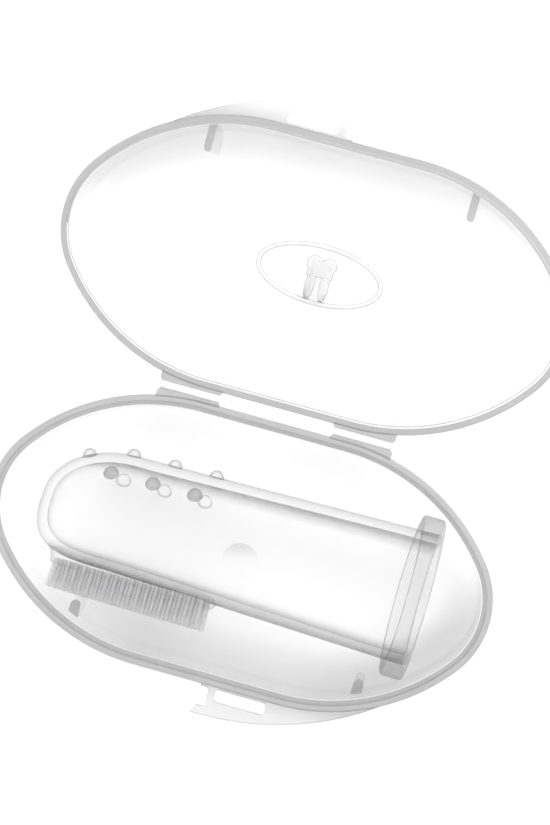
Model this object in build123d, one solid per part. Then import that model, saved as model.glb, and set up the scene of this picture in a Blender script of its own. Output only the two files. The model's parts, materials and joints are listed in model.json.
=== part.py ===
from build123d import *
from math import atan2, cos, pi, sin, sqrt
import os

# Finger toothbrush lying in its open clamshell travel case, millimetres.
# +X runs along the case hinge, -Y is the base half, +Y is the lid half, +Z is up.
# The origin is under the middle of the hinge, on the surface the case lies on.

# ---- Case outline at the rim: straight sides, wide side arcs, tighter end arcs ----
HALF_LENGTH = 36.8
HALF_WIDTH = 19.45
STRAIGHT_HALF = 10.6
END_RADIUS = 12.9
END_CENTRE_X = HALF_LENGTH - END_RADIUS
SIDE_RADIUS = (
    (END_CENTRE_X - STRAIGHT_HALF) ** 2 + HALF_WIDTH**2 - END_RADIUS**2
) / (2 * (HALF_WIDTH - END_RADIUS))
SIDE_CENTRE_Y = HALF_WIDTH - SIDE_RADIUS

# ---- Case heights and walls ----
RIM_Z = 14.0
FLOOR = 1.2
OUTER_DRAFT = 4.0
INNER_DRAFT = 2.6
OUTER_CORNER = 7.0
INNER_CORNER = 5.8
RIM_EDGE_ROUND = 0.25
HINGE_GAP = 0.95
HALF_CENTRE_Y = HINGE_GAP + HALF_WIDTH

# ---- Lap joint between the halves ----
BASE_WALL = 1.6
STEP_WALL = 0.88
STEP_DEPTH = 1.15
LID_WALL = 1.4
LIP_WALL = 0.4
LIP_HEIGHT = 1.0

# ---- Living hinges ----
HINGE_CENTRE_X = 12.65
HINGE_LENGTH = 8.5
LUG_REACH = 0.4
LUG_HEIGHT = 1.4
LUG_CHAMFER = 0.3
FILM_THICKNESS = 0.35
FILM_HALF = HINGE_GAP - LUG_REACH

# ---- Thumb tabs ----
TAB_THICKNESS = 1.0
TAB_TOP_Z = RIM_Z - 0.1
TAB_TIP = (-1.0, 44.2)
TAB_NOSE = (2.0, 44.15)
TAB_MIDDLE = (12.6, 42.35)
TAB_HEEL = (25.2, 35.9)
TAB_END_X = -0.35
WINDOW_X = (1.85, 9.35)
WINDOW_Y = (40.1, 41.95)
WINDOW_ROUND = 0.5
NOTCH_DEPTH = 1.25
NOTCH_Y = (40.1, 43.0)

# ---- Ribs inside the latch-side walls ----
RIB_CHAMFER = 0.5
BASE_RIB_X = 21.2
BASE_RIB_WIDTH = 1.5
BASE_RIB_END = 33.9
BASE_RIB_TOP_Z = 9.5
LID_RIB_X = 19.1
LID_RIB_WIDTH = 1.1
LID_RIB_END = 33.3
LID_RIB_TOP_Z = 13.9

# ---- Small marks on the floors ----
GATE_PLACE = (-0.4, -2.8)
GATE_RADIUS = 2.7
GATE_DEPTH = 0.2
EMBLEM_LENGTH = 19.0
EMBLEM_WIDTH = 9.0
EMBLEM_BAND = 0.7
EMBLEM_HEIGHT = 0.3
TOOTH_WIDTH = 4.2

# ---- Brush, in its own frame: tip at x = 0, mouth at x = BRUSH_LENGTH, axis along X ----
BRUSH_LENGTH = 57.0
DOME_LENGTH = 12.0
DOME_RADIUS = 8.5
MOUTH_RADIUS = 9.6
WALL = 1.4
BORE_RADIUS = MOUTH_RADIUS - WALL
BORE_LENGTH = 5.5
MOUTH_ROUND = 0.35
COLLAR_RADIUS = 11.75
COLLAR_LENGTH = 3.2
COLLAR_ROUND = 0.35

# ---- Bristle pad and bristles on the brush's -Y side ----
PAD_CENTRE_X = 16.2
PAD_LENGTH = 24.4
PAD_WIDTH = 8.0
PAD_ROUND = 3.2
PAD_FACE = 9.6
PAD_FLARE = 8.0
PAD_DEPTH = 7.0
BRISTLE_LENGTH = 3.4
BRISTLE_ROOT = 0.24
BRISTLE_TIP = 0.15
BRISTLE_COLUMNS = 39
BRISTLE_PITCH_X = 0.6
BRISTLE_ROWS = 8
BRISTLE_PITCH_Z = 0.95
BRISTLE_MARGIN = 0.45

# ---- Massage nubs on the brush's +Y side ----
NUB_RADIUS = 1.0
NUB_PITCH = 6.23
MIDDLE_NUBS = 4
MIDDLE_NUB_START = 4.85
SIDE_NUBS = 3
UPPER_NUB_START = 10.0
UPPER_NUB_ANGLE = 57.0
LOWER_NUB_START = 9.4
LOWER_NUB_ANGLE = -51.0

# ---- How the brush lies in the base ----
BRUSH_PITCH = 4.3
BRUSH_ROLL = 12.0
MOUTH_PLACE = (27.0, -19.9, 13.25)


def oval_face(inset):
    """Face inside the case outline moved inwards by inset, centred on the origin."""
    side = SIDE_RADIUS - inset
    end = END_RADIUS - inset
    half_width = HALF_WIDTH - inset
    joint_angle = atan2(-SIDE_CENTRE_Y, END_CENTRE_X - STRAIGHT_HALF)
    middle_angle = (joint_angle + pi / 2) / 2
    joint_x = STRAIGHT_HALF + side * cos(joint_angle)
    joint_y = SIDE_CENTRE_Y + side * sin(joint_angle)
    middle_x = STRAIGHT_HALF + side * cos(middle_angle)
    middle_y = SIDE_CENTRE_Y + side * sin(middle_angle)
    edges = []
    for turn in (1, -1):
        start = (-STRAIGHT_HALF * turn, half_width * turn)
        edges.append(Line(start, (STRAIGHT_HALF * turn, half_width * turn)))
        edges.append(
            ThreePointArc(
                (STRAIGHT_HALF * turn, half_width * turn),
                (middle_x * turn, middle_y * turn),
                (joint_x * turn, joint_y * turn),
            )
        )
        edges.append(
            ThreePointArc(
                (joint_x * turn, joint_y * turn),
                ((END_CENTRE_X + end) * turn, 0),
                (joint_x * turn, -joint_y * turn),
            )
        )
        edges.append(
            ThreePointArc(
                (joint_x * turn, -joint_y * turn),
                (middle_x * turn, -middle_y * turn),
                (STRAIGHT_HALF * turn, -half_width * turn),
            )
        )
    return make_face(edges)


def prism(face, low, high):
    """Straight prism on a flat face from z = low to z = high."""
    return extrude(Pos(0, 0, low) * face, amount=high - low)


def dish(inset, top, bottom, draft, corner):
    """Drafted solid that narrows from the outline at top down to a rounded bottom."""
    block = extrude(Pos(0, 0, top) * oval_face(inset), amount=top - bottom, dir=(0, 0, -1), taper=draft)
    return fillet(block.faces().sort_by(Axis.Z)[0].edges(), corner)


def outer_dish():
    """Outside of one case half, with a softened rim edge."""
    body = dish(0, RIM_Z, 0, OUTER_DRAFT, OUTER_CORNER)
    return fillet(body.faces().sort_by(Axis.Z)[-1].edges(), RIM_EDGE_ROUND)


def inner_dish(wall, top):
    """Hollow of one case half below its rim."""
    return dish(wall, top, FLOOR, INNER_DRAFT, INNER_CORNER)


def base_shell():
    """Deep half with a step inside its rim, and the shallow gate mark in its floor."""
    step_z = RIM_Z - STEP_DEPTH
    shell = outer_dish() - inner_dish(BASE_WALL, step_z)
    shell = shell - prism(oval_face(STEP_WALL), step_z, RIM_Z + 1)
    return shell - Pos(*GATE_PLACE, FLOOR) * Cylinder(GATE_RADIUS, 2 * GATE_DEPTH)


def lid_shell():
    """Matching half with a flat rim."""
    return outer_dish() - inner_dish(LID_WALL, RIM_Z)


def lid_lip():
    """Raised tongue round the lid's rim that drops inside the base's step."""
    band = oval_face(LID_WALL - LIP_WALL) - oval_face(LID_WALL)
    return prism(band, RIM_Z, RIM_Z + LIP_HEIGHT)


def hinge_lug(x):
    """Short block on the hinge side of a half, shaped to the wall, hinge towards +Y."""
    reach = HALF_WIDTH + LUG_REACH
    half = HINGE_LENGTH / 2
    outline = Polyline(
        (x - half - LUG_CHAMFER, HALF_WIDTH - 2),
        (x - half - LUG_CHAMFER, HALF_WIDTH),
        (x - half, reach),
        (x + half, reach),
        (x + half + LUG_CHAMFER, HALF_WIDTH),
        (x + half + LUG_CHAMFER, HALF_WIDTH - 2),
        close=True,
    )
    return prism(make_face(outline), RIM_Z - LUG_HEIGHT, RIM_Z) - outer_dish()


def film_hinge(x):
    """Thin web that joins two lugs; thinnest in the middle, where it folds."""
    top = RIM_Z
    root = top - 2 * FILM_THICKNESS
    profile = make_face(
        [
            Line((-FILM_HALF, top), (FILM_HALF, top)),
            Line((FILM_HALF, top), (FILM_HALF, root)),
            ThreePointArc((FILM_HALF, root), (0, top - FILM_THICKNESS), (-FILM_HALF, root)),
            Line((-FILM_HALF, root), (-FILM_HALF, top)),
        ]
    )
    web = extrude(Plane.YZ * profile, amount=HINGE_LENGTH / 2, both=True)
    return Pos(x, 0, 0) * web


def thumb_tab():
    """Flat crescent on the base's latch side, with a window and an open notch."""
    tip_x, tip_y = TAB_TIP
    wall_y = HALF_CENTRE_Y + HALF_WIDTH - 4
    outline = [
        Line((TAB_END_X, -wall_y), (TAB_END_X, -NOTCH_Y[1])),
        Line((TAB_END_X, -NOTCH_Y[1]), (tip_x, -tip_y)),
        Line((tip_x, -tip_y), (TAB_NOSE[0], -TAB_NOSE[1])),
        ThreePointArc(
            (TAB_NOSE[0], -TAB_NOSE[1]),
            (TAB_MIDDLE[0], -TAB_MIDDLE[1]),
            (TAB_HEEL[0], -TAB_HEEL[1]),
        ),
        Line((TAB_HEEL[0], -TAB_HEEL[1]), (TAB_END_X, -wall_y)),
    ]
    window_width = WINDOW_X[1] - WINDOW_X[0]
    window_height = WINDOW_Y[1] - WINDOW_Y[0]
    window = Pos(sum(WINDOW_X) / 2, -sum(WINDOW_Y) / 2) * RectangleRounded(
        window_width, window_height, WINDOW_ROUND
    )
    notch = Pos(TAB_END_X, -sum(NOTCH_Y) / 2) * RectangleRounded(
        2 * NOTCH_DEPTH, NOTCH_Y[1] - NOTCH_Y[0], WINDOW_ROUND
    )
    plate = make_face(outline) - window - notch
    tab = prism(plate, TAB_TOP_Z - TAB_THICKNESS, TAB_TOP_Z)
    return tab - Pos(0, -HALF_CENTRE_Y, 0) * outer_dish()


def wall_rib(x, end_y, width, rib_top, wall, wall_top):
    """Upright rib from the latch-side wall inwards to end_y: level top, rounded and chamfered end."""
    inner_end = end_y + width / 2
    outer_end = HALF_CENTRE_Y + HALF_WIDTH
    plan = Pos(x, -(inner_end + outer_end) / 2) * Rectangle(width, outer_end - inner_end)
    plan = plan + Pos(x, -inner_end) * Circle(width / 2)
    side = Polyline(
        (-end_y, 0),
        (-end_y, rib_top - RIB_CHAMFER),
        (-end_y - RIB_CHAMFER, rib_top),
        (-outer_end, rib_top),
        (-outer_end, 0),
        close=True,
    )
    wedge = Pos(x, 0, 0) * extrude(Plane.YZ * make_face(side), amount=width, both=True)
    hollow = Pos(0, -HALF_CENTRE_Y, 0) * inner_dish(wall, wall_top)
    return prism(plan, 0, rib_top) & wedge & hollow


def tooth_face():
    """Plain molar outline: two crown cusps, a waist and two short roots."""
    half = TOOTH_WIDTH / 2
    crown = half / 2
    cusps = Pos(-crown, crown) * Circle(crown * 1.15) + Pos(crown, crown) * Circle(crown * 1.15)
    body = Rectangle(TOOTH_WIDTH * 0.92, crown * 1.6)
    roots = Pos(-crown, -half) * Ellipse(crown * 0.7, half) + Pos(crown, -half) * Ellipse(crown * 0.7, half)
    return cusps + body + roots


def lid_emblem():
    """Generic raised mark on the lid's floor: an oval band with a plain tooth inside."""
    band = Ellipse(EMBLEM_LENGTH / 2, EMBLEM_WIDTH / 2)
    band = band - Ellipse(EMBLEM_LENGTH / 2 - EMBLEM_BAND, EMBLEM_WIDTH / 2 - EMBLEM_BAND)
    mark = band + Pos(0, TOOTH_WIDTH * 0.1) * tooth_face()
    return prism(mark, FLOOR, FLOOR + EMBLEM_HEIGHT)


def tube_radius(x):
    """Outside radius of the sleeve at distance x from its tip."""
    if x < DOME_LENGTH:
        return DOME_RADIUS * sqrt(1 - ((DOME_LENGTH - x) / DOME_LENGTH) ** 2)
    share = (x - DOME_LENGTH) / (BRUSH_LENGTH - DOME_LENGTH)
    return DOME_RADIUS + (MOUTH_RADIUS - DOME_RADIUS) * share


def sleeve_outside():
    """Solid of revolution: a rounded tip and a tube that widens to the mouth."""
    dome = EllipticalCenterArc(
        (DOME_LENGTH, 0), DOME_LENGTH, DOME_RADIUS, start_angle=90, arc_size=90
    )
    profile = [
        dome,
        Line((DOME_LENGTH, DOME_RADIUS), (BRUSH_LENGTH, MOUTH_RADIUS)),
        Line((BRUSH_LENGTH, MOUTH_RADIUS), (BRUSH_LENGTH, 0)),
        Line((BRUSH_LENGTH, 0), (0, 0)),
    ]
    return revolve(make_face(profile), Axis.X)


def finger_hollow():
    """Space for the finger: the same form inside the wall, straight at the mouth."""
    dome = EllipticalCenterArc(
        (DOME_LENGTH, 0), DOME_LENGTH - WALL, DOME_RADIUS - WALL, start_angle=90, arc_size=90
    )
    straight_x = BRUSH_LENGTH - BORE_LENGTH
    past = BRUSH_LENGTH + 1
    profile = [
        dome,
        Line((DOME_LENGTH, DOME_RADIUS - WALL), (straight_x, BORE_RADIUS)),
        Line((straight_x, BORE_RADIUS), (past, BORE_RADIUS)),
        Line((past, BORE_RADIUS), (past, 0)),
        Line((past, 0), (WALL, 0)),
    ]
    return revolve(make_face(profile), Axis.X)


def brush_sleeve():
    """Thin silicone finger stall with a softened inner mouth edge."""
    sleeve = sleeve_outside() - finger_hollow()
    mouth = sleeve.faces().sort_by(Axis.X)[-1]
    return fillet(mouth.edges().sort_by(SortBy.RADIUS)[0], MOUTH_ROUND)


def brush_collar():
    """Thick ring round the mouth end of the sleeve."""
    centre = Pos(BRUSH_LENGTH - COLLAR_LENGTH / 2, 0, 0) * Rot(0, 90, 0)
    ring = centre * Cylinder(COLLAR_RADIUS, COLLAR_LENGTH)
    ring = fillet(ring.edges(), COLLAR_ROUND)
    return ring - sleeve_outside()


def bristle_pad():
    """Raised rounded pad, flat on top, that the bristles grow from."""
    face_plane = Plane(origin=(PAD_CENTRE_X, -PAD_FACE, 0), x_dir=(1, 0, 0), z_dir=(0, -1, 0))
    plan = RectangleRounded(PAD_LENGTH, PAD_WIDTH, PAD_ROUND)
    block = extrude(face_plane * plan, amount=PAD_DEPTH, dir=(0, 1, 0), taper=-PAD_FLARE)
    return block - sleeve_outside()


def bristle_places():
    """Staggered grid of root positions (x, z) inside the pad's rounded outline."""
    places = []
    half_x = PAD_LENGTH / 2 - PAD_ROUND
    half_z = PAD_WIDTH / 2 - PAD_ROUND
    for column in range(BRISTLE_COLUMNS):
        x = (column - (BRISTLE_COLUMNS - 1) / 2) * BRISTLE_PITCH_X
        rows = BRISTLE_ROWS - column % 2
        for row in range(rows):
            z = (row - (rows - 1) / 2) * BRISTLE_PITCH_Z
            over_x = max(abs(x) - half_x, 0)
            over_z = max(abs(z) - half_z, 0)
            if sqrt(over_x**2 + over_z**2) < PAD_ROUND - BRISTLE_MARGIN:
                places.append((column, PAD_CENTRE_X + x, z))
    return places


def bristle(x, z):
    """One tapered bristle standing on the pad's face."""
    stalk = Cone(BRISTLE_ROOT, BRISTLE_TIP, BRISTLE_LENGTH)
    return Pos(x, -PAD_FACE - BRISTLE_LENGTH / 2, z) * Rot(90, 0, 0) * stalk


def massage_nub(x, angle):
    """Small dome on the sleeve, angle degrees round from +Y towards +Z."""
    ball = Pos(x, tube_radius(x), 0) * Rot(-90, 0, 0) * Sphere(NUB_RADIUS)
    return Rot(angle, 0, 0) * (ball - sleeve_outside())


def nub_row(start, count, angle):
    """Evenly spaced nubs along the sleeve at one angle."""
    return [massage_nub(start + NUB_PITCH * index, angle) for index in range(count)]


def write(name, shape):
    """Write one node, a single solid or a group of separate solids."""
    if isinstance(shape, list):
        shape = Compound(children=[solid for item in shape for solid in item.solids()])
    export_step(shape, f"parts/{name}.step")


# ---- Places in the object's frame ----
IN_BASE = Pos(0, -HALF_CENTRE_Y, 0)
HALF_TURN = Rot(0, 0, 180)
IN_LID = HALF_TURN * IN_BASE
BRUSH = (
    Pos(*MOUTH_PLACE)
    * Rot(0, -BRUSH_PITCH, 0)
    * Rot(-BRUSH_ROLL, 0, 0)
    * Pos(-BRUSH_LENGTH, 0, 0)
)

write("base_shell", IN_BASE * base_shell())
write("base_thumb_tab", thumb_tab())
write("lid_shell", IN_LID * lid_shell())
write("lid_lip", IN_LID * lid_lip())
write("lid_thumb_tab", HALF_TURN * thumb_tab())
write("lid_emblem", Pos(0, HALF_CENTRE_Y, 0) * lid_emblem())
for side, sign in (("left", -1), ("right", 1)):
    write(f"base_hinge_lug_{side}", IN_BASE * hinge_lug(sign * HINGE_CENTRE_X))
    write(f"lid_hinge_lug_{side}", IN_LID * hinge_lug(-sign * HINGE_CENTRE_X))
    write(f"film_hinge_{side}", film_hinge(sign * HINGE_CENTRE_X))
    base_rib = wall_rib(
        sign * BASE_RIB_X, BASE_RIB_END, BASE_RIB_WIDTH, BASE_RIB_TOP_Z, BASE_WALL, RIM_Z - STEP_DEPTH
    )
    write(f"base_rib_{side}", base_rib)
    lid_rib = wall_rib(
        -sign * LID_RIB_X, LID_RIB_END, LID_RIB_WIDTH, LID_RIB_TOP_Z, LID_WALL, RIM_Z
    )
    write(f"lid_rib_{side}", HALF_TURN * lid_rib)

end_columns = (0, BRISTLE_COLUMNS - 1)
places = bristle_places()
write("brush_sleeve", BRUSH * brush_sleeve())
write("brush_collar", BRUSH * brush_collar())
write("bristle_pad", BRUSH * bristle_pad())
write("bristle_field", [BRUSH * bristle(x, z) for column, x, z in places if column not in end_columns])
write("bristle_end_columns", [BRUSH * bristle(x, z) for column, x, z in places if column in end_columns])
write("nub_row_middle", [BRUSH * nub for nub in nub_row(MIDDLE_NUB_START, MIDDLE_NUBS, 0)])
write("nub_row_upper", [BRUSH * nub for nub in nub_row(UPPER_NUB_START, SIDE_NUBS, UPPER_NUB_ANGLE)])
write("nub_row_lower", [BRUSH * nub for nub in nub_row(LOWER_NUB_START, SIDE_NUBS, LOWER_NUB_ANGLE)])
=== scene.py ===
import json
from math import atan2, cos, pi, radians, sin, sqrt, tan

import bmesh
import bpy
import numpy as np
from mathutils import Matrix, Vector

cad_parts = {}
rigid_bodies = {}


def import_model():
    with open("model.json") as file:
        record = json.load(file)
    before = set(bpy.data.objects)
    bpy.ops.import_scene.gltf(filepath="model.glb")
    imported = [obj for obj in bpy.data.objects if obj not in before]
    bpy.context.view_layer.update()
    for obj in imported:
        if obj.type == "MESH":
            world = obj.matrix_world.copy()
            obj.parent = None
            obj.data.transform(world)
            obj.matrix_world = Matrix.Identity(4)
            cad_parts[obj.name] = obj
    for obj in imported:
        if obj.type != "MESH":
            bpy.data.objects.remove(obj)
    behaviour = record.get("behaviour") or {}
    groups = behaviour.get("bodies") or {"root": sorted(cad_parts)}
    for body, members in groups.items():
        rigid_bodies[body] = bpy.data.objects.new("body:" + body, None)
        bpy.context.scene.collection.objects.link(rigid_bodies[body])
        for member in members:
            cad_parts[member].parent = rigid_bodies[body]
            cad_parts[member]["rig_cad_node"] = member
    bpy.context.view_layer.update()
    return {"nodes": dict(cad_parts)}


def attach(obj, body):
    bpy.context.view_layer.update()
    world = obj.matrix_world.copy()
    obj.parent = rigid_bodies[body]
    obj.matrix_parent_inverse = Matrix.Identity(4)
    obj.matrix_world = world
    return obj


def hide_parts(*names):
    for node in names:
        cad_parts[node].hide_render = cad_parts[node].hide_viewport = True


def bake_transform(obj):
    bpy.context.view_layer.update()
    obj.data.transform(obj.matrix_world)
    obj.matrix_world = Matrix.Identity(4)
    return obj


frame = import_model()
nodes_of = frame["nodes"]

MM = 0.001

# ---- Case outline at the rim, millimetres ----
HALF_LENGTH = 36.8
HALF_WIDTH = 19.45
STRAIGHT_HALF = 10.6
END_RADIUS = 12.9
END_CENTRE_X = HALF_LENGTH - END_RADIUS
SIDE_RADIUS = (
    (END_CENTRE_X - STRAIGHT_HALF) ** 2 + HALF_WIDTH**2 - END_RADIUS**2
) / (2 * (HALF_WIDTH - END_RADIUS))
SIDE_CENTRE_Y = HALF_WIDTH - SIDE_RADIUS
OUTLINE_POINTS = 224

# ---- Case section, millimetres ----
RIM_Z = 14.0
FLOOR = 1.2
OUTER_SLOPE = tan(radians(4.0))
INNER_SLOPE = tan(radians(2.6))
OUTER_CORNER = 7.0
INNER_CORNER = 5.8
HINGE_GAP = 0.95
HALF_CENTRE_Y = HINGE_GAP + HALF_WIDTH
BASE_WALL = 1.6
STEP_WALL = 0.88
STEP_DEPTH = 1.15
LID_WALL = 1.4
LIP_WALL = 0.4
LIP_HEIGHT = 1.0
FLAT_INSET = 10.5
GATE_PLACE = (-0.4, -2.8)
GATE_RADIUS = 2.7
GATE_SHARES = (1.0, 0.97, 0.8, 0.6, 0.4, 0.2)
FLAT_SHARES = (0.25, 0.5, 0.75)
GATE_DEPTH = 0.2
WELD = 0.02

# ---- Film hinges, millimetres ----
FILM_CENTRE_X = 12.65
FILM_LENGTH = 8.5
FILM_HALF = 0.55
FILM_THICKNESS = 0.35
FILM_STEPS = 16

# ---- Rounded edges of the tabs and the emblem, millimetres and degrees ----
MERGE_DISTANCE = 0.002
SHARP_EDGE = 35
TAB_ROUNDING = 0.22
EMBLEM_ROUNDING = 0.09

# ---- Brush, millimetres, in its own frame: tip at x = 0, mouth at x = BRUSH_LENGTH ----
BRUSH_LENGTH = 57.0
DOME_LENGTH = 12.0
DOME_RADIUS = 8.5
TIP_POWER = 3.5
MOUTH_RADIUS = 9.6
WALL = 1.4
BORE_RADIUS = MOUTH_RADIUS - WALL
BORE_LENGTH = 5.5
COLLAR_RADIUS = 11.75
COLLAR_LENGTH = 3.2
COLLAR_LET_IN = 0.15
TURN_POINTS = 128
PAD_CENTRE_X = 16.2
PAD_HALF_LENGTH = 12.2
PAD_HALF_WIDTH = 4.0
PAD_ROUND = 3.2
PAD_FACE = 9.6
PAD_FLARE = tan(radians(8.0))
PAD_EDGE = 0.45
PAD_SUNK = 0.06
PAD_POINTS = 96
BRISTLE_LENGTH = 3.4
BRISTLE_ROOT = 0.22
BRISTLE_SUNK = 0.8
BRISTLE_SIDES = 8
BRISTLE_FAN = 0.35
BRISTLE_STRAY = 0.025
BRISTLE_COLUMNS = 39
BRISTLE_PITCH_X = 0.6
BRISTLE_ROWS = 8
BRISTLE_PITCH_Z = 0.95
BRISTLE_MARGIN = 0.45
NUB_RADIUS = 1.0
NUB_SIDES = 24
NUB_PITCH = 6.23
MIDDLE_NUB_START = 4.85
UPPER_NUB_START = 10.0
UPPER_NUB_ANGLE = 57.0
LOWER_NUB_START = 9.4
LOWER_NUB_ANGLE = -51.0
BRUSH_PITCH = radians(4.3)
BRUSH_ROLL = radians(12.0)
MOUTH_PLACE = (27.0, -19.9, 13.25)

# ---- Shared values of the materials ----
PATTERN_LOW = 0.3
PATTERN_HIGH = 0.7
ABSORPTION_COLOUR = (0.5, 0.5, 0.5, 1)
HORIZON_LIGHT = 0.5
OVERHEAD_LIGHT = 1.32


# ======================================================================
# Mesh helpers
# ======================================================================


def make_piece(name, points, faces, sharp=40):
    """Mesh object from points in millimetres; edges sharper than the angle stay crisp."""
    mesh = bpy.data.meshes.new(name)
    mesh.from_pydata((np.asarray(points) * MM).tolist(), [], faces)
    mesh.update()
    closed = bmesh.new()
    closed.from_mesh(mesh)
    bmesh.ops.recalc_face_normals(closed, faces=closed.faces)
    closed.to_mesh(mesh)
    closed.free()
    mesh.shade_smooth()
    mesh.set_sharp_from_angle(angle=radians(sharp))
    piece = bpy.data.objects.new(name, mesh)
    bpy.context.scene.collection.objects.link(piece)
    return piece


def grid_quads(rows, columns):
    """Quads between successive rings of a rows x columns grid whose rings are closed."""
    row, column = np.meshgrid(np.arange(rows - 1), np.arange(columns), indexing="ij")
    after = (column + 1) % columns
    corners = np.stack(
        [
            row * columns + column,
            row * columns + after,
            (row + 1) * columns + after,
            (row + 1) * columns + column,
        ],
        axis=-1,
    )
    return corners.reshape(-1, 4)


def closed_rings(rings):
    """Points and faces of a surface through a stack of rings, closed by a fan at each end."""
    rows, columns, _ = rings.shape
    points = np.concatenate([rings.reshape(-1, 3), rings[:1].mean(1), rings[-1:].mean(1)])
    first_pole = rows * columns
    last_pole = first_pole + 1
    start = np.arange(columns)
    after = (start + 1) % columns
    last = (rows - 1) * columns
    faces = grid_quads(rows, columns).tolist()
    faces += np.stack([after, start, np.full(columns, first_pole)], 1).tolist()
    faces += np.stack([last + start, last + after, np.full(columns, last_pole)], 1).tolist()
    return points, faces


def rounded_profile(corners):
    """Polyline through corners (across, up, radius) with each corner replaced by a tangent arc.

    The arc starts radius / tan(half the corner's angle) before the corner, and its centre
    lies on the corner's bisector at radius / sin(half the angle).
    """
    places = np.array([c[:2] for c in corners], float)
    line = [places[:1]]
    for i in range(1, len(corners) - 1):
        radius = corners[i][2]
        if radius == 0:
            line.append(places[i : i + 1])
            continue
        to_last = (places[i - 1] - places[i]) / np.linalg.norm(places[i - 1] - places[i])
        to_next = (places[i + 1] - places[i]) / np.linalg.norm(places[i + 1] - places[i])
        half = np.arccos(np.clip(to_last @ to_next, -1, 1)) / 2
        bisector = (to_last + to_next) / np.linalg.norm(to_last + to_next)
        centre = places[i] + bisector * radius / sin(half)
        start = places[i] + to_last * radius / tan(half) - centre
        end = places[i] + to_next * radius / tan(half) - centre
        steps = 4 if radius < 1 else 18
        share = np.linspace(0, 1, steps)[:, None]
        turn = pi - 2 * half
        arc = (np.sin((1 - share) * turn) * start + np.sin(share * turn) * end) / sin(turn)
        line.append(centre + arc)
    line.append(places[-1:])
    return np.concatenate(line)


# ======================================================================
# Case
# ======================================================================


def outline(count):
    """Points and outward normals evenly spaced round the rim, as arrays of (x, y).

    Each quarter is half a straight side, a wide arc and a tight end arc that meet in tangents.
    """
    joint = atan2(-SIDE_CENTRE_Y, END_CENTRE_X - STRAIGHT_HALF)
    side_length = SIDE_RADIUS * (pi / 2 - joint)
    quarter = STRAIGHT_HALF + side_length + END_RADIUS * joint
    travel = (np.arange(count) + 0.5) / count * 4 * quarter
    number = (travel // quarter).astype(int)
    along = travel % quarter
    along = np.where(number % 2 == 1, quarter - along, along)
    side_angle = pi / 2 - (along - STRAIGHT_HALF) / SIDE_RADIUS
    end_angle = joint - (along - STRAIGHT_HALF - side_length) / END_RADIUS
    on_straight = along < STRAIGHT_HALF
    on_side = along < STRAIGHT_HALF + side_length
    angle = np.where(on_side, side_angle, end_angle)
    centre_x = np.where(on_side, STRAIGHT_HALF, END_CENTRE_X)
    centre_y = np.where(on_side, SIDE_CENTRE_Y, 0)
    radius = np.where(on_side, SIDE_RADIUS, END_RADIUS)
    x = np.where(on_straight, along, centre_x + radius * np.cos(angle))
    y = np.where(on_straight, HALF_WIDTH, centre_y + radius * np.sin(angle))
    normal_x = np.where(on_straight, 0, np.cos(angle))
    normal_y = np.where(on_straight, 1, np.sin(angle))
    sign_x = np.where(number < 2, 1, -1)
    sign_y = np.where((number == 0) | (number == 3), 1, -1)
    points = np.stack([x * sign_x, y * sign_y], 1)
    normals = np.stack([normal_x * sign_x, normal_y * sign_y], 1)
    return points, normals


def inset_rings(profile):
    """One closed ring per profile point (inset, z).

    The rim outline is moved inwards by the inset and laid at height z.
    """
    points, normals = outline(OUTLINE_POINTS)
    flat = points[None] - profile[:, :1, None] * normals[None]
    height = np.broadcast_to(profile[:, 1][:, None, None], flat.shape[:2] + (1,))
    return np.concatenate([flat, height], axis=2)


def shrunk_rings(ring, shares):
    """Copies of a flat ring scaled towards its centre."""
    scale = np.array(shares)[:, None, None] * np.array([1.0, 1.0, 0.0]) + np.array([0.0, 0.0, 1.0])
    return ring[None] * scale


def gate_rings(ring):
    """Rings down into the round gate mark at the floor's centre, a dish of depth 1 - (r / R)^2."""
    heading = np.arctan2(ring[:, 1], ring[:, 0])
    circle = np.stack([np.cos(heading), np.sin(heading)], 1)
    rings = []
    for share in GATE_SHARES:
        height = np.full(len(circle), ring[0, 2] - GATE_DEPTH * (1 - share**2))
        rings.append(np.column_stack([circle * GATE_RADIUS * share + GATE_PLACE, height]))
    return np.array(rings)


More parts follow.
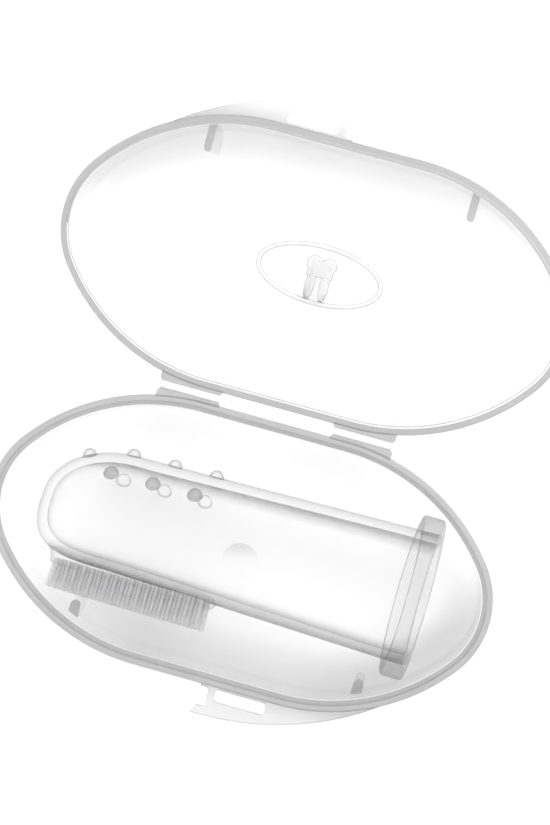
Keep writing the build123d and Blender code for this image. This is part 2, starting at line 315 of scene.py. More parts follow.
def shell_piece(name, rim_corners, rim_shade_bands, wall, wall_top, centre_y, with_gate):
    """One case half: outer floor, rounded outer wall, rim, inner wall and inner floor.

    Faces whose middle falls in a rim band (least inset, most inset, least z, most z) take
    the piece's second material, a grey painted as shade on the rim, where the outward normal's y
    is over the band's fifth number. The inner wall takes the third material, which adds painted
    shade where the walls face one way, and the gate mark the fourth, which paints a crescent of
    shade in the mark.
    """
    outer_foot = OUTER_SLOPE * RIM_Z
    inner_foot = wall + INNER_SLOPE * (wall_top - FLOOR)
    corners = [(FLAT_INSET, 0, 0), (outer_foot, 0, OUTER_CORNER)]
    corners += rim_corners
    corners += [(inner_foot - WELD, FLOOR, INNER_CORNER), (FLAT_INSET, FLOOR, 0)]
    profile = rounded_profile(corners)
    rings = inset_rings(profile)
    under = shrunk_rings(rings[0], FLAT_SHARES)
    if with_gate:
        gate = gate_rings(rings[-1])
        over = np.concatenate([(rings[-1:] * 0.4 + gate[:1] * 0.6), gate])
    else:
        over = shrunk_rings(rings[-1], FLAT_SHARES[::-1])
    # The profile's first third is the outer floor and wall, so none of it is inner wall.
    middle = (profile[:-1] + profile[1:]) / 2
    _, normals = outline(OUTLINE_POINTS)
    inside = middle[:, 0] > wall - WELD
    inside[: len(middle) // 3] = False
    in_shade_band = np.zeros((len(middle), OUTLINE_POINTS), bool)
    # The rim bands mark the faces painted grey as shade.
    for least, most, low, high, side in rim_shade_bands:
        inset, height = middle[:, 0], middle[:, 1]
        rows = (inset > least) & (inset < most) & (height > low) & (height < high)
        in_shade_band |= rows[:, None] & (normals[:, 1] > side)
    rings = np.concatenate([under, rings, over])
    rings[:, :, 1] += centre_y
    piece = make_piece(name, *closed_rings(rings))
    slots = np.zeros(len(piece.data.polygons), np.int32)
    first = len(under) * OUTLINE_POINTS
    slots[first : first + in_shade_band.size] = np.where(in_shade_band, 1, 2 * inside[:, None]).ravel()
    if with_gate:
        quads = (len(rings) - 1) * OUTLINE_POINTS
        slots[quads - (len(GATE_SHARES) - 1) * OUTLINE_POINTS : quads] = 3
        slots[-OUTLINE_POINTS:] = 3
    piece.data.polygons.foreach_set("material_index", slots)
    return piece


def base_shell():
    """Base half: the rim steps down inside to take the lid's tongue."""
    step_z = RIM_Z - STEP_DEPTH
    rim = [
        (0, RIM_Z, 0.25),
        (STEP_WALL, RIM_Z, 0.12),
        (STEP_WALL, step_z, 0.1),
        (BASE_WALL - WELD, step_z, 0.15),
    ]
    # Rim faces painted grey as shade.
    shade_bands = [(0.0, BASE_WALL, step_z - 0.02, RIM_Z + 0.01, -2)]
    piece = shell_piece("base_case", rim, shade_bands, BASE_WALL, step_z, -HALF_CENTRE_Y, True)
    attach(piece, "base")
    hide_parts("base_shell")
    return piece


def lid_shell():
    """Lid half: the tongue stands up from the inner edge of its rim."""
    lip_top = RIM_Z + LIP_HEIGHT
    rim = [
        (0, RIM_Z, 0.25),
        (LID_WALL - LIP_WALL, RIM_Z, 0.08),
        (LID_WALL - LIP_WALL, lip_top, 0.12),
        (LID_WALL - WELD, lip_top, 0.12),
        (LID_WALL - WELD, RIM_Z, 0),
    ]
    # Rim and tongue faces painted grey as shade.
    shade_bands = [
        (0.0, LID_WALL - LIP_WALL - 0.05, RIM_Z - 0.2, RIM_Z + 0.01, -2),
        (LID_WALL - LIP_WALL, LID_WALL, lip_top - 0.2, lip_top + 0.01, -0.2),
        (LID_WALL - 0.17, LID_WALL, lip_top - 0.3, lip_top, -2),
    ]
    piece = shell_piece("lid_case", rim, shade_bands, LID_WALL, RIM_Z, HALF_CENTRE_Y, False)
    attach(piece, "lid")
    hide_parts("lid_shell", "lid_lip")
    return piece


def film_hinge(side, centre_x):
    """Thin web between two lugs: flat on top, hollowed underneath by an arc through its middle.

    The section is a loop of points across the web and back; it is repeated along the hinge.
    """
    across = np.linspace(-FILM_HALF, FILM_HALF, FILM_STEPS + 1)
    radius = (FILM_HALF**2 + FILM_THICKNESS**2) / (2 * FILM_THICKNESS)
    hollow = np.sqrt(radius**2 - across**2) - (radius - FILM_THICKNESS)
    top = np.column_stack([across, np.full(FILM_STEPS + 1, RIM_Z)])
    bottom = np.column_stack([across, RIM_Z - 2 * FILM_THICKNESS + hollow])[::-1]
    section = np.concatenate([top, bottom])
    stations = centre_x + np.linspace(-FILM_LENGTH / 2, FILM_LENGTH / 2, 9)
    rings = np.array([np.column_stack([np.full(len(section), x), section]) for x in stations])
    points = rings.reshape(-1, 3)
    faces = grid_quads(len(stations), len(section)).tolist()
    last = (len(stations) - 1) * len(section)
    for start in (0, last):
        back = start + 2 * FILM_STEPS
        for i in range(FILM_STEPS):
            faces.append([start + i, start + i + 1, back - i, back + 1 - i])
    piece = make_piece(f"living_hinge_{side}", points, faces)
    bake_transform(piece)
    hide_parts(f"film_hinge_{side}")
    return piece


def moulded_copy(name, node, body, rounding, limited):
    """Copy of a small CAD part with its doubles merged and its sharp edges rounded.

    The rounding is in millimetres. Where limited, crowded edges make it narrower on all of
    them. The rounded edges take the piece's second material, which paints shade on them.
    """
    mesh = nodes_of[node].data.copy()
    mesh.name = name
    merged = bmesh.new()
    merged.from_mesh(mesh)
    bmesh.ops.remove_doubles(merged, verts=merged.verts, dist=MERGE_DISTANCE * MM)
    bmesh.ops.dissolve_limit(
        merged, angle_limit=radians(1), verts=merged.verts, edges=merged.edges
    )
    bmesh.ops.recalc_face_normals(merged, faces=merged.faces)
    merged.to_mesh(mesh)
    merged.free()
    mesh.materials.clear()
    mesh.shade_smooth()
    mesh.set_sharp_from_angle(angle=radians(SHARP_EDGE))
    piece = bpy.data.objects.new(name, mesh)
    bpy.context.scene.collection.objects.link(piece)
    soft = piece.modifiers.new("soft_edges", "BEVEL")
    soft.width = rounding * MM
    soft.segments = 4
    soft.limit_method = "ANGLE"
    soft.angle_limit = radians(SHARP_EDGE)
    soft.material = 1
    soft.use_clamp_overlap = limited
    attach(piece, body)
    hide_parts(node)
    return piece


# ======================================================================
# Brush
# ======================================================================


def laid_in_base(points):
    """Brush points rolled about the brush's axis, then pitched mouth up, then put in place."""
    local = np.asarray(points) - np.array([BRUSH_LENGTH, 0, 0])
    roll = np.array(
        [
            [1, 0, 0],
            [0, cos(BRUSH_ROLL), sin(BRUSH_ROLL)],
            [0, -sin(BRUSH_ROLL), cos(BRUSH_ROLL)],
        ]
    )
    pitch = np.array(
        [
            [cos(BRUSH_PITCH), 0, -sin(BRUSH_PITCH)],
            [0, 1, 0],
            [sin(BRUSH_PITCH), 0, cos(BRUSH_PITCH)],
        ]
    )
    return local @ roll.T @ pitch.T + np.array(MOUTH_PLACE)


def tube_radius(x, down=0.0):
    """Outside radius at x: over the dome, then a straight widening to the mouth.

    The dome is a quarter ellipse, and towards the pad (down = 1) a squarer superellipse:
    (r / R)^n + ((L - x) / L)^n = 1, blended in by the square of down.
    """
    along = np.clip((DOME_LENGTH - x) / DOME_LENGTH, 0, 1)
    ellipse = DOME_RADIUS * np.sqrt(1 - along**2)
    square = DOME_RADIUS * (1 - along**TIP_POWER) ** (1 / TIP_POWER)
    dome = ellipse + (square - ellipse) * down**2
    share = (x - DOME_LENGTH) / (BRUSH_LENGTH - DOME_LENGTH)
    tube = DOME_RADIUS + (MOUTH_RADIUS - DOME_RADIUS) * share
    return np.where(x < DOME_LENGTH, dome, tube)


def pad_side_depth(x, z, sunk):
    """Depth y of the sleeve's surface under the pad at (x, z), sunk towards the axis.

    The radius depends on how far down the point is, so the two are worked out in turns.
    """
    radius = tube_radius(x, 1.0)
    for _ in range(4):
        down = np.sqrt(np.clip(1 - (z / np.maximum(radius, 0.1)) ** 2, 0, 1))
        radius = tube_radius(x, down)
    return -np.sqrt(np.clip((radius - sunk) ** 2 - z**2, 0.01, None))


def turned(section, pad_side=None):
    """Rings made by turning a section of (x, radius) points round the brush's axis.

    Towards the pad the section changes into pad_side, by the square of the cosine.
    """
    angle = np.linspace(0, 2 * pi, TURN_POINTS, endpoint=False)
    share = np.clip(-np.cos(angle), 0, 1) ** 2
    other = section if pad_side is None else pad_side
    mixed = section[:, None] + (other - section)[:, None] * share[None, :, None]
    rings = np.empty((len(section), len(angle), 3))
    rings[:, :, 0] = mixed[:, :, 0]
    rings[:, :, 1] = mixed[:, :, 1] * np.cos(angle)
    rings[:, :, 2] = mixed[:, :, 1] * np.sin(angle)
    return rings


def dome_section(length, radius, power):
    """Quarter superellipse of (x, radius) points that ends at x = DOME_LENGTH."""
    turn = np.linspace(0.03, pi / 2, 30)
    along = np.cos(turn) ** (2 / power)
    across = np.sin(turn) ** (2 / power)
    return np.column_stack([DOME_LENGTH - length * along, radius * across])


def sleeve():
    """Silicone skin of the finger stall.

    The section runs over the outer dome and tube, round the mouth and back to the inner dome.
    """
    tube_start = DOME_LENGTH + 3
    middle = rounded_profile(
        [
            (tube_start, tube_radius(tube_start), 0),
            (BRUSH_LENGTH, MOUTH_RADIUS, 0.35),
            (BRUSH_LENGTH, BORE_RADIUS, 0.45),
            (BRUSH_LENGTH - BORE_LENGTH, BORE_RADIUS, 30),
            (tube_start, DOME_RADIUS - WALL, 0),
        ]
    )
    sections = []
    for power in (2.0, TIP_POWER):
        outer = dome_section(DOME_LENGTH, DOME_RADIUS, power)
        inner = dome_section(DOME_LENGTH - WALL, DOME_RADIUS - WALL, power)[::-1]
        sections.append(np.concatenate([outer, middle, inner]))
    points, faces = closed_rings(turned(*sections))
    points[-2] = (0, 0, 0)
    points[-1] = (WALL, 0, 0)
    piece = make_piece("finger_stall", laid_in_base(points), faces)
    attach(piece, "brush")
    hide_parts("brush_sleeve")
    return piece


def collar():
    """Thick ring round the mouth, let into the sleeve."""
    collar_x = BRUSH_LENGTH - COLLAR_LENGTH
    inside = MOUTH_RADIUS - COLLAR_LET_IN
    section = rounded_profile(
        [
            (BRUSH_LENGTH - 1.5, inside, 0),
            (collar_x, inside, 0.05),
            (collar_x, COLLAR_RADIUS, 0.4),
            (BRUSH_LENGTH, COLLAR_RADIUS, 0.45),
            (BRUSH_LENGTH, inside, 0.05),
            (BRUSH_LENGTH - 1.4, inside, 0),
        ]
    )
    rings = turned(section)
    rows, columns, _ = rings.shape
    faces = grid_quads(rows, columns).tolist()
    last = (rows - 1) * columns
    faces += [[last + i, last + (i + 1) % columns, (i + 1) % columns, i] for i in range(columns)]
    piece = make_piece("stall_collar", laid_in_base(rings.reshape(-1, 3)), faces)
    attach(piece, "brush")
    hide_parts("brush_collar")
    return piece


def pad_ring(grow, scale):
    """Ring at the pad's face: its rounded outline grown outwards, then scaled towards its centre.

    The normal turns through each corner in the middle half of a quarter of the ring's points.
    """
    step = np.arange(PAD_POINTS) / (PAD_POINTS / 4)
    quarter = step.astype(int)
    angle = (quarter + np.clip((step - quarter) * 2 - 0.5, 0, 1)) * pi / 2
    corner_x = (PAD_HALF_LENGTH - PAD_ROUND) * np.array([1, -1, -1, 1])
    corner_z = (PAD_HALF_WIDTH - PAD_ROUND) * np.array([1, 1, -1, -1])
    x = corner_x[quarter] + (PAD_ROUND + grow) * np.cos(angle)
    z = corner_z[quarter] + (PAD_ROUND + grow) * np.sin(angle)
    return np.column_stack([x * scale, np.full(PAD_POINTS, -PAD_FACE), z * scale])


def pad_piece():
    """Bristle pad: a flat face with a soft edge, and flared sides.

    Its underside follows the sleeve's surface and is sunk into it.
    """
    rings = [pad_ring(0, share) for share in (0.3, 0.65)]
    for turn in np.linspace(0, pi / 2, 6):
        ring = pad_ring(PAD_EDGE * (sin(turn) - 1), 1)
        ring[:, 1] += PAD_EDGE * (1 - cos(turn))
        rings.append(ring)
    top = rings[-1][:, 1]
    for share in np.linspace(0.1, 1, 8):
        ring = pad_ring(PAD_FLARE * 2 * share + 0.6 * share**5, 1)
        foot = pad_side_depth(PAD_CENTRE_X + ring[:, 0], ring[:, 2], PAD_SUNK)
        ring[:, 1] = top + (foot - top) * share
        rings.append(ring)
    foot_ring = rings[-1]
    for share in (0.8, 0.6, 0.4, 0.2):
        ring = foot_ring * share
        ring[:, 1] = pad_side_depth(PAD_CENTRE_X + ring[:, 0], ring[:, 2], PAD_SUNK)
        rings.append(ring)
    rings = np.array(rings)
    rings[:, :, 0] += PAD_CENTRE_X
    points, faces = closed_rings(rings)
    points[-1, 1] = -(float(tube_radius(PAD_CENTRE_X)) - PAD_SUNK)
    piece = make_piece("brush_pad", laid_in_base(points), faces)
    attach(piece, "brush")
    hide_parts("bristle_pad")
    return piece


def bristle_roots():
    """Staggered grid of root places (x, z) inside the pad's rounded outline."""
    half_x = PAD_HALF_LENGTH - PAD_ROUND
    half_z = PAD_HALF_WIDTH - PAD_ROUND
    places = []
    for column in range(BRISTLE_COLUMNS):
        x = (column - (BRISTLE_COLUMNS - 1) / 2) * BRISTLE_PITCH_X
        rows = BRISTLE_ROWS - column % 2
        z = (np.arange(rows) - (rows - 1) / 2) * BRISTLE_PITCH_Z
        over = np.hypot(max(abs(x) - half_x, 0), np.clip(np.abs(z) - half_z, 0, None))
        kept = z[over < PAD_ROUND - BRISTLE_MARGIN]
        places.append(np.column_stack([np.full(len(kept), x), kept]))
    return np.concatenate(places)


def bristles_piece():
    """All bristles in one mesh: tapered stalks with rounded ends.

    They fan out slightly at the pad's ends, and each strays a little from its neighbours.
    """
    roots = bristle_roots()
    rng = np.random.default_rng(7)
    lean = np.zeros_like(roots)
    fanned = np.sign(roots[:, 0]) * (np.abs(roots[:, 0]) / PAD_HALF_LENGTH) ** 4
    lean[:, 0] = BRISTLE_FAN * fanned
    lean += rng.uniform(-BRISTLE_STRAY, BRISTLE_STRAY, lean.shape)
    share = np.array([0, 0.35, 0.7, 0.93, 0.985])
    radius = np.array([1, 0.88, 0.76, 0.68, 0.42]) * BRISTLE_ROOT
    angle = np.arange(BRISTLE_SIDES) / BRISTLE_SIDES * 2 * pi
    rise = -PAD_FACE + BRISTLE_SUNK - share * (BRISTLE_LENGTH + BRISTLE_SUNK)
    bent = share**1.5
    x = PAD_CENTRE_X + roots[:, 0, None] + lean[:, 0, None] * bent
    z = roots[:, 1, None] + lean[:, 1, None] * bent
    rings = np.empty((len(roots), len(share), BRISTLE_SIDES, 3))
    rings[..., 0] = x[:, :, None] + radius[None, :, None] * np.cos(angle)
    rings[..., 1] = rise[None, :, None]
    rings[..., 2] = z[:, :, None] + radius[None, :, None] * np.sin(angle)
    points, faces = [], []
    offset = 0
    for stalk in rings:
        stalk_points, stalk_faces = closed_rings(stalk)
        stalk_points[-1, 1] = -PAD_FACE - BRISTLE_LENGTH
        points.append(stalk_points)
        faces += [[offset + i for i in face] for face in stalk_faces]
        offset += len(stalk_points)
    placed = laid_in_base(np.concatenate(points))
    piece = make_piece("brush_bristles", placed, faces, sharp=80)
    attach(piece, "brush")
    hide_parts("bristle_field", "bristle_end_columns")
    return piece


def nub_piece(name, node, start, count, angle_degrees):
    """A row of small domes: a half ball on a soft foot, standing square on the tube.

    The faces of the foot take the piece's second material.
    """
    turn = np.linspace(radians(12), radians(85), 8)
    across = np.concatenate([[1.14, 1.1], np.cos(turn)]) * NUB_RADIUS
    rise = np.concatenate([[-0.11, 0.02], np.sin(turn)]) * NUB_RADIUS
    around = np.arange(NUB_SIDES) / NUB_SIDES * 2 * pi
    points, faces = [], []
    offset = 0
    for index in range(count):
        x = start + NUB_PITCH * index
        radius = float(tube_radius(x))
        step = 0.05
        slope = (float(tube_radius(x + step)) - float(tube_radius(x - step))) / (2 * step)
        outward = np.array([-slope, 1, 0]) / sqrt(1 + slope**2)
        along = np.array([1, slope, 0]) / sqrt(1 + slope**2)
        sideways = np.array([0, 0, 1])
        place = np.array([x, radius, 0])
        rings = (
            place
            + rise[:, None, None] * outward
            + across[:, None, None] * np.cos(around)[None, :, None] * along
            + across[:, None, None] * np.sin(around)[None, :, None] * sideways
        )
        nub_points, nub_faces = closed_rings(rings)
        nub_points[-1] = place + outward * NUB_RADIUS
        points.append(nub_points)
        faces += [[offset + i for i in face] for face in nub_faces]
        offset += len(nub_points)
    points = np.concatenate(points)
    angle = radians(angle_degrees)
    swung = points.copy()
    swung[:, 1] = points[:, 1] * cos(angle) - points[:, 2] * sin(angle)
    swung[:, 2] = points[:, 1] * sin(angle) + points[:, 2] * cos(angle)
    piece = make_piece(name, laid_in_base(swung), faces)
    per_nub = len(faces) // count
    foot = np.arange(len(faces)) % per_nub < 2 * NUB_SIDES
    piece.data.polygons.foreach_set("material_index", foot.astype(np.int32))
    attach(piece, "brush")
    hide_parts(node)
    return piece


# ======================================================================
# Materials
# ======================================================================


def node_material(name):
    """Empty node material with a Principled shader wired to its output."""
    material = bpy.data.materials.new(name)
    material.use_nodes = True
    nodes = material.node_tree.nodes
    shader = nodes["Principled BSDF"]
    output = nodes["Material Output"]
    return material, nodes, material.node_tree.links, shader, output


def noise(nodes, links, scale, detail=2.0):
    """Noise pattern on the piece's own coordinates, with its scale in repeats per metre."""
    place = nodes.new("ShaderNodeTexCoord")
    pattern = nodes.new("ShaderNodeTexNoise")
    pattern.inputs["Scale"].default_value = scale
    pattern.inputs["Detail"].default_value = detail
    links.new(place.outputs["Object"], pattern.inputs["Vector"])
    return pattern.outputs["Fac"]


def spread(nodes, links, value, low, high):
    """Maps the pattern's usual range onto low to high."""
    mapping = nodes.new("ShaderNodeMapRange")
    mapping.inputs["From Min"].default_value = PATTERN_LOW
    mapping.inputs["From Max"].default_value = PATTERN_HIGH
    mapping.inputs["To Min"].default_value = low
    mapping.inputs["To Max"].default_value = high
    links.new(value, mapping.inputs["Value"])
    return mapping.outputs["Result"]


def painted_side_shade(nodes, links, direction, low, high, amount):
    """Painted shade: a grey share for the surfaces whose outward normal leans along a direction.

    The normal is turned back where a surface is seen from behind, so both sides get the same.
    """
    place = nodes.new("ShaderNodeTexCoord")
    lean = nodes.new("ShaderNodeVectorMath")
    lean.operation = "DOT_PRODUCT"
    lean.inputs[1].default_value = direction
    links.new(place.outputs["Normal"], lean.inputs[0])
    geometry = nodes.new("ShaderNodeNewGeometry")
    sign = nodes.new("ShaderNodeMath")
    sign.operation = "MULTIPLY_ADD"
    sign.inputs[1].default_value = -2
    sign.inputs[2].default_value = 1
    links.new(geometry.outputs["Backfacing"], sign.inputs[0])
    outward = nodes.new("ShaderNodeMath")
    outward.operation = "MULTIPLY"
    links.new(lean.outputs["Value"], outward.inputs[0])
    links.new(sign.outputs["Value"], outward.inputs[1])
    ramp = nodes.new("ShaderNodeMapRange")
    ramp.interpolation_type = "SMOOTHSTEP"
    ramp.inputs["From Min"].default_value = low
    ramp.inputs["From Max"].default_value = high
    ramp.inputs["To Max"].default_value = amount
    links.new(outward.outputs["Value"], ramp.inputs["Value"])
    return ramp.outputs["Result"]


def painted_shade_by_hinge_distance(nodes, links, near, far, amount):
    """Painted shade: share by distance from the hinge line, in metres.

    It is all of the amount up to near, and falls to nothing at far.
    """
    place = nodes.new("ShaderNodeTexCoord")
    split = nodes.new("ShaderNodeSeparateXYZ")
    links.new(place.outputs["Object"], split.inputs["Vector"])
    distance = nodes.new("ShaderNodeMath")
    distance.operation = "ABSOLUTE"
    links.new(split.outputs["Y"], distance.inputs[0])
    ramp = nodes.new("ShaderNodeMapRange")
    ramp.interpolation_type = "SMOOTHSTEP"
    ramp.inputs["From Min"].default_value = far
    ramp.inputs["From Max"].default_value = near
    ramp.inputs["To Max"].default_value = amount
    links.new(distance.outputs["Value"], ramp.inputs["Value"])
    return ramp.outputs["Result"]


def clear_material(
    name, greys, ior, rough, grain, edge, falloff, haze, density=0, side=None, root=None
):
    """Clear moulded material that is seen straight through.

    A glossy shader between two greys, with the grain and the range of roughness given, is mixed
    over a transparent one. haze is its share where the surface is square to the eye, and edge
    and falloff say how the share grows as the surface turns away. side adds painted shade to the
    share where the surface faces one way (direction, low, high, amount), and root adds painted
    shade where it is near the case's wall (near, far, amount). Where density is over 0, an even
    absorption inside the walls greys what is seen through them.
    """
    material, nodes, links, shader, output = node_material(name)
    pattern = noise(nodes, links, grain, 3.0)
    tones = nodes.new("ShaderNodeValToRGB")
    tones.color_ramp.elements[0].position = PATTERN_LOW
    tones.color_ramp.elements[1].position = PATTERN_HIGH
    tones.color_ramp.elements[0].color = (greys[0], greys[0], greys[0] * 1.01, 1)
    tones.color_ramp.elements[1].color = (greys[1], greys[1], greys[1] * 1.01, 1)
    links.new(pattern, tones.inputs["Fac"])
    links.new(tones.outputs["Color"], shader.inputs["Base Color"])
    links.new(spread(nodes, links, pattern, rough[0], rough[1]), shader.inputs["Roughness"])
    shader.inputs["IOR"].default_value = ior
    shader.inputs["Specular IOR Level"].default_value = 0.3
    open_share = nodes.new("ShaderNodeBsdfTransparent")
    facing = nodes.new("ShaderNodeLayerWeight")
    facing.inputs["Blend"].default_value = 0.5
    steep = nodes.new("ShaderNodeMath")
    steep.operation = "POWER"
    steep.inputs[1].default_value = falloff
    links.new(facing.outputs["Facing"], steep.inputs[0])
    share = nodes.new("ShaderNodeMath")
    share.operation = "MULTIPLY_ADD"
    share.use_clamp = True
    share.inputs[1].default_value = edge
    share.inputs[2].default_value = haze
    links.new(steep.outputs["Value"], share.inputs[0])
    total = share.outputs["Value"]
    # side and root add painted shade to the share.
    painted_shades = [painted_side_shade(nodes, links, *side)] if side else []
    painted_shades += [painted_shade_by_hinge_distance(nodes, links, *root)] if root else []
    for part in painted_shades:
        sum_of = nodes.new("ShaderNodeMath")
        sum_of.use_clamp = True
        links.new(total, sum_of.inputs[0])
        links.new(part, sum_of.inputs[1])
        total = sum_of.outputs["Value"]
    mix = nodes.new("ShaderNodeMixShader")
    links.new(total, mix.inputs["Fac"])
    links.new(open_share.outputs["BSDF"], mix.inputs[1])
    links.new(shader.outputs["BSDF"], mix.inputs[2])
    links.new(mix.outputs["Shader"], output.inputs["Surface"])
    if density > 0:
        body = nodes.new("ShaderNodeVolumeAbsorption")
        body.inputs["Color"].default_value = ABSORPTION_COLOUR
        body.inputs["Density"].default_value = density
        links.new(body.outputs["Volume"], output.inputs["Volume"])
    return material


def give(material, slot, *pieces):
    """Puts one material on pieces. The slot argument is not used."""
    for piece in pieces:
        if piece.data.materials:
            piece.data.materials.clear()
        piece.data.materials.append(material)


# ======================================================================
# Stage
# ======================================================================


def camera():
    """Long lens above the open case, turned so that the hinge runs down to the right."""
    data = bpy.data.cameras.new("camera")
    data.lens = 109.1
    data.sensor_width = 36
    data.clip_start = 0.01
    data.clip_end = 10
    seen = bpy.data.objects.new("camera", data)
    back = Vector((0.06527, 0.07730, 0.99487)).normalized()
    up = Vector((-0.26428, 0.96273, -0.05746))
    up = (up - back * up.dot(back)).normalized()
    right = up.cross(back)
    place = Vector((22.806, 27.579, 364.99)) * MM
    turn = Matrix((right, up, back)).transposed().to_4x4()
    seen.matrix_world = Matrix.Translation(place) @ turn
    bpy.context.scene.collection.objects.link(seen)
    bpy.context.scene.camera = seen


def floor():
    """Large white sheet under the case."""
    size = 1.5
    mesh = bpy.data.meshes.new("floor")
    mesh.from_pydata(
        [(-size, -size, 0), (size, -size, 0), (size, size, 0), (-size, size, 0)],
        [],
        [(0, 1, 2, 3)],
    )
    sheet = bpy.data.objects.new("floor", mesh)
    sheet.location.z = -0.05 * MM
    bpy.context.scene.collection.objects.link(sheet)
    material, nodes, links, shader, output = node_material("white_sheet")
    shader.inputs["Base Color"].default_value = (0.92, 0.92, 0.92, 1)
    shader.inputs["Roughness"].default_value = 0.9
    mesh.materials.append(material)


def sky():
    """White overhead light that falls off to grey at the horizon."""
    world = bpy.data.worlds.new("studio")
    bpy.context.scene.world = world
    world.use_nodes = True
    nodes = world.node_tree.nodes
    links = world.node_tree.links
    background = nodes["Background"]
    place = nodes.new("ShaderNodeTexCoord")
    split = nodes.new("ShaderNodeSeparateXYZ")
    ramp = nodes.new("ShaderNodeMapRange")
    ramp.interpolation_type = "SMOOTHSTEP"
    ramp.inputs["From Min"].default_value = 0.0
    ramp.inputs["From Max"].default_value = 0.75
    ramp.inputs["To Min"].default_value = HORIZON_LIGHT
    ramp.inputs["To Max"].default_value = OVERHEAD_LIGHT
    links.new(place.outputs["Generated"], split.inputs["Vector"])
    links.new(split.outputs["Z"], ramp.inputs["Value"])
    links.new(ramp.outputs["Result"], background.inputs["Strength"])
    background.inputs["Color"].default_value = (1, 1, 1, 1)


def softbox():
    """Large soft lamp behind the lid's right end, for gentle shading."""
    data = bpy.data.lights.new("softbox", "AREA")
    data.shape = "RECTANGLE"
    data.size = 0.5
    data.size_y = 0.5
    data.energy = 2.0
    lamp = bpy.data.objects.new("softbox", data)
    lamp.location = (0.25, 0.35, 0.6)
    aim = Vector((0, 0, 0)) - lamp.location
    lamp.rotation_mode = "QUATERNION"
    lamp.rotation_quaternion = aim.to_track_quat("-Z", "Y")
    bpy.context.scene.collection.objects.link(lamp)


# ======================================================================
# Assembly
# ======================================================================

camera()
floor()
sky()
softbox()

case_shells = [base_shell(), lid_shell()]
films = [film_hinge("left", -FILM_CENTRE_X), film_hinge("right", FILM_CENTRE_X)]
RIBS = ("base_rib_left", "base_rib_right", "lid_rib_left", "lid_rib_right")
HINGE_LUGS = (
    "base_hinge_lug_left",
    "base_hinge_lug_right",
    "lid_hinge_lug_left",
    "lid_hinge_lug_right",
)
tabs = [
    moulded_copy("base_tab", "base_thumb_tab", "base", TAB_ROUNDING, True),
    moulded_copy("lid_tab", "lid_thumb_tab", "lid", TAB_ROUNDING, True),
]
badge = moulded_copy("lid_badge", "lid_emblem", "lid", EMBLEM_ROUNDING, False)
stall = sleeve()
stall_collar = collar()
pad = pad_piece()
near_nubs = [
    nub_piece("nubs_middle", "nub_row_middle", MIDDLE_NUB_START, 4, 0),
    nub_piece("nubs_upper", "nub_row_upper", UPPER_NUB_START, 3, UPPER_NUB_ANGLE),
]
far_nubs = nub_piece("nubs_lower", "nub_row_lower", LOWER_NUB_START, 3, LOWER_NUB_ANGLE)
bristles = bristles_piece()

WALL_PLASTIC = {"greys": (0.3, 0.36), "ior": 1.49, "rough": (0.08, 0.16), "grain": 300}
SOFT_SILICONE = {"greys": (0.2, 0.3), "ior": 1.41, "rough": (0.18, 0.3), "grain": 600}
FIRM_SILICONE = {"greys": (0.25, 0.35), "ior": 1.41, "rough": (0.18, 0.3), "grain": 600}

case_outside = clear_material(
    "case_outside", **WALL_PLASTIC, edge=0.4, falloff=4.5, haze=0.012
)
# Painted shade: side greys the inner walls that face the given direction.
base_inside_painted_shade = clear_material(
    "base_inside_painted_shade", **WALL_PLASTIC, edge=0.45, falloff=4.5, haze=0.02,
    side=((-0.75, 0.66, 0.1), 0.05, 0.9, 0.38),
)
lid_inside_painted_shade = clear_material(
    "lid_inside_painted_shade", **WALL_PLASTIC, edge=0.45, falloff=4.5, haze=0.012,
    side=((0.25, -0.97, 0.0), 0.15, 0.95, 0.32),
)
# Painted shade: the rim faces are painted a nearly opaque grey.
case_rim_shade = clear_material(
    "case_rim_shade", greys=(0.3, 0.33), ior=1.49, rough=(0.12, 0.18), grain=120,
    edge=0.2, falloff=3.5, haze=0.76,
)
# Painted shade: side greys the rib faces that face up.
case_ribs_painted_shade = clear_material(
    "case_ribs_painted_shade", greys=(0.3, 0.34), ior=1.49, rough=(0.12, 0.18), grain=300,
    edge=0.12, falloff=4.0, haze=0.06, side=((0, 0, 1), 0.2, 0.9, 0.68),
)
case_lugs = clear_material(
    "case_lugs", greys=(0.32, 0.38), ior=1.49, rough=(0.12, 0.18), grain=300,
    edge=0.4, falloff=3.0, haze=0.46,
)
case_films = clear_material("case_films", **WALL_PLASTIC, edge=0.6, falloff=2.0, haze=0.07)
# Painted shade: root greys the tabs where they meet the case wall.
case_tabs_root_shade = clear_material(
    "case_tabs_root_shade", **WALL_PLASTIC, edge=0.6, falloff=3.0, haze=0.14,
    root=(0.0375, 0.0425, 0.26),
)
# Painted shade: the tabs' rounded edges are painted a dark grey.
tab_edge_shade = clear_material(
    "tab_edge_shade", greys=(0.16, 0.22), ior=1.49, rough=(0.12, 0.2), grain=300,
    edge=0.6, falloff=1.2, haze=0.42,
)
# Painted shade: side greys a crescent on the side of the gate mark's dish that faces -y.
gate_mark_painted_shade = clear_material(
    "gate_mark_painted_shade", greys=(0.3, 0.36), ior=1.49, rough=(0.1, 0.2), grain=300,
    edge=0.45, falloff=4.5, haze=0.02, side=((0.2, -0.98, 0), 0.0, 0.16, 0.2),
)
emblem = clear_material(
    "case_emblem", greys=(0.3, 0.36), ior=1.49, rough=(0.1, 0.2), grain=400,
    edge=0.6, falloff=2.0, haze=0.1,
)
# Painted shade: the emblem's rounded edges are grey, and side greys them more where they face -y,
# as a painted shadow side.
emblem_edge_shade = clear_material(
    "emblem_edge_shade", greys=(0.3, 0.36), ior=1.49, rough=(0.1, 0.2), grain=400,
    edge=0.5, falloff=2.0, haze=0.32, side=((0.4, -0.9, 0), -0.4, 0.8, 0.4),
)
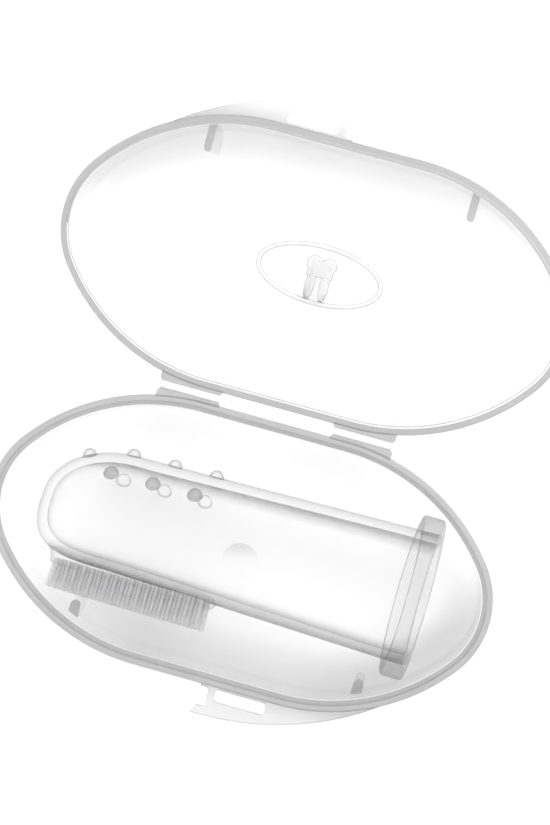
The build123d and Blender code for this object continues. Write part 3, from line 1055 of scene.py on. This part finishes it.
# Painted shade: side greys the sleeve where its surfaces face -y.
silicone = clear_material(
    "clear_silicone", **SOFT_SILICONE, edge=0.7, falloff=4.0, haze=0.0, density=12,
    side=((0, -1, 0), 0.8, 0.97, 0.35),
)
collar_silicone = clear_material(
    "silicone_collar", **SOFT_SILICONE, edge=0.8, falloff=3.0, haze=0.0, density=50
)
pad_silicone = clear_material(
    "silicone_pad", **FIRM_SILICONE, edge=0.7, falloff=4.0, haze=0.01, density=24
)
# Painted shade: side greys the near nubs on the half that faces mostly -y.
nub_silicone = clear_material(
    "silicone_nub", **FIRM_SILICONE, edge=0.8, falloff=1.6, haze=0.05, density=40,
    side=((0.3, -0.85, -0.2), -0.1, 0.9, 0.5),
)
far_nub_silicone = clear_material(
    "silicone_nub_far", **SOFT_SILICONE, edge=0.8, falloff=2.5, haze=0.0
)
# Painted shade: a grey ring on the feet of the far nubs.
far_nub_foot_shade = clear_material("silicone_foot", **SOFT_SILICONE, edge=0.4, falloff=2.0, haze=0.35)
bristle_silicone = clear_material(
    "silicone_bristle", greys=(0.55, 0.68), ior=1.41, rough=(0.25, 0.4), grain=900,
    edge=0.5, falloff=1.5, haze=0.25,
)
give(case_outside, "clear_case_plastic", *case_shells)
for shell, inside in zip(case_shells, (base_inside_painted_shade, lid_inside_painted_shade)):
    shell.data.materials.append(case_rim_shade)
    shell.data.materials.append(inside)
case_shells[0].data.materials.append(gate_mark_painted_shade)
give(case_films, "clear_case_plastic", *films)
give(case_tabs_root_shade, "clear_case_plastic", *tabs)
for tab in tabs:
    tab.data.materials.append(tab_edge_shade)
give(emblem, "clear_case_plastic", badge)
badge.data.materials.append(emblem_edge_shade)
give(case_ribs_painted_shade, "clear_case_plastic", *(nodes_of[name] for name in RIBS))
give(case_lugs, "clear_case_plastic", *(nodes_of[name] for name in HINGE_LUGS))
give(silicone, "clear_silicone", stall)
give(collar_silicone, "clear_silicone", stall_collar)
give(pad_silicone, "clear_silicone", pad)
give(nub_silicone, "clear_silicone", *near_nubs)
for nubs in near_nubs:
    nubs.data.materials.append(nub_silicone)
give(far_nub_silicone, "clear_silicone", far_nubs)
far_nubs.data.materials.append(far_nub_foot_shade)
give(bristle_silicone, "silicone_bristle", bristles)

view = bpy.context.scene.view_settings
view.view_transform = "Standard"
cycles = bpy.context.scene.cycles
cycles.max_bounces = 8
cycles.transparent_max_bounces = 96
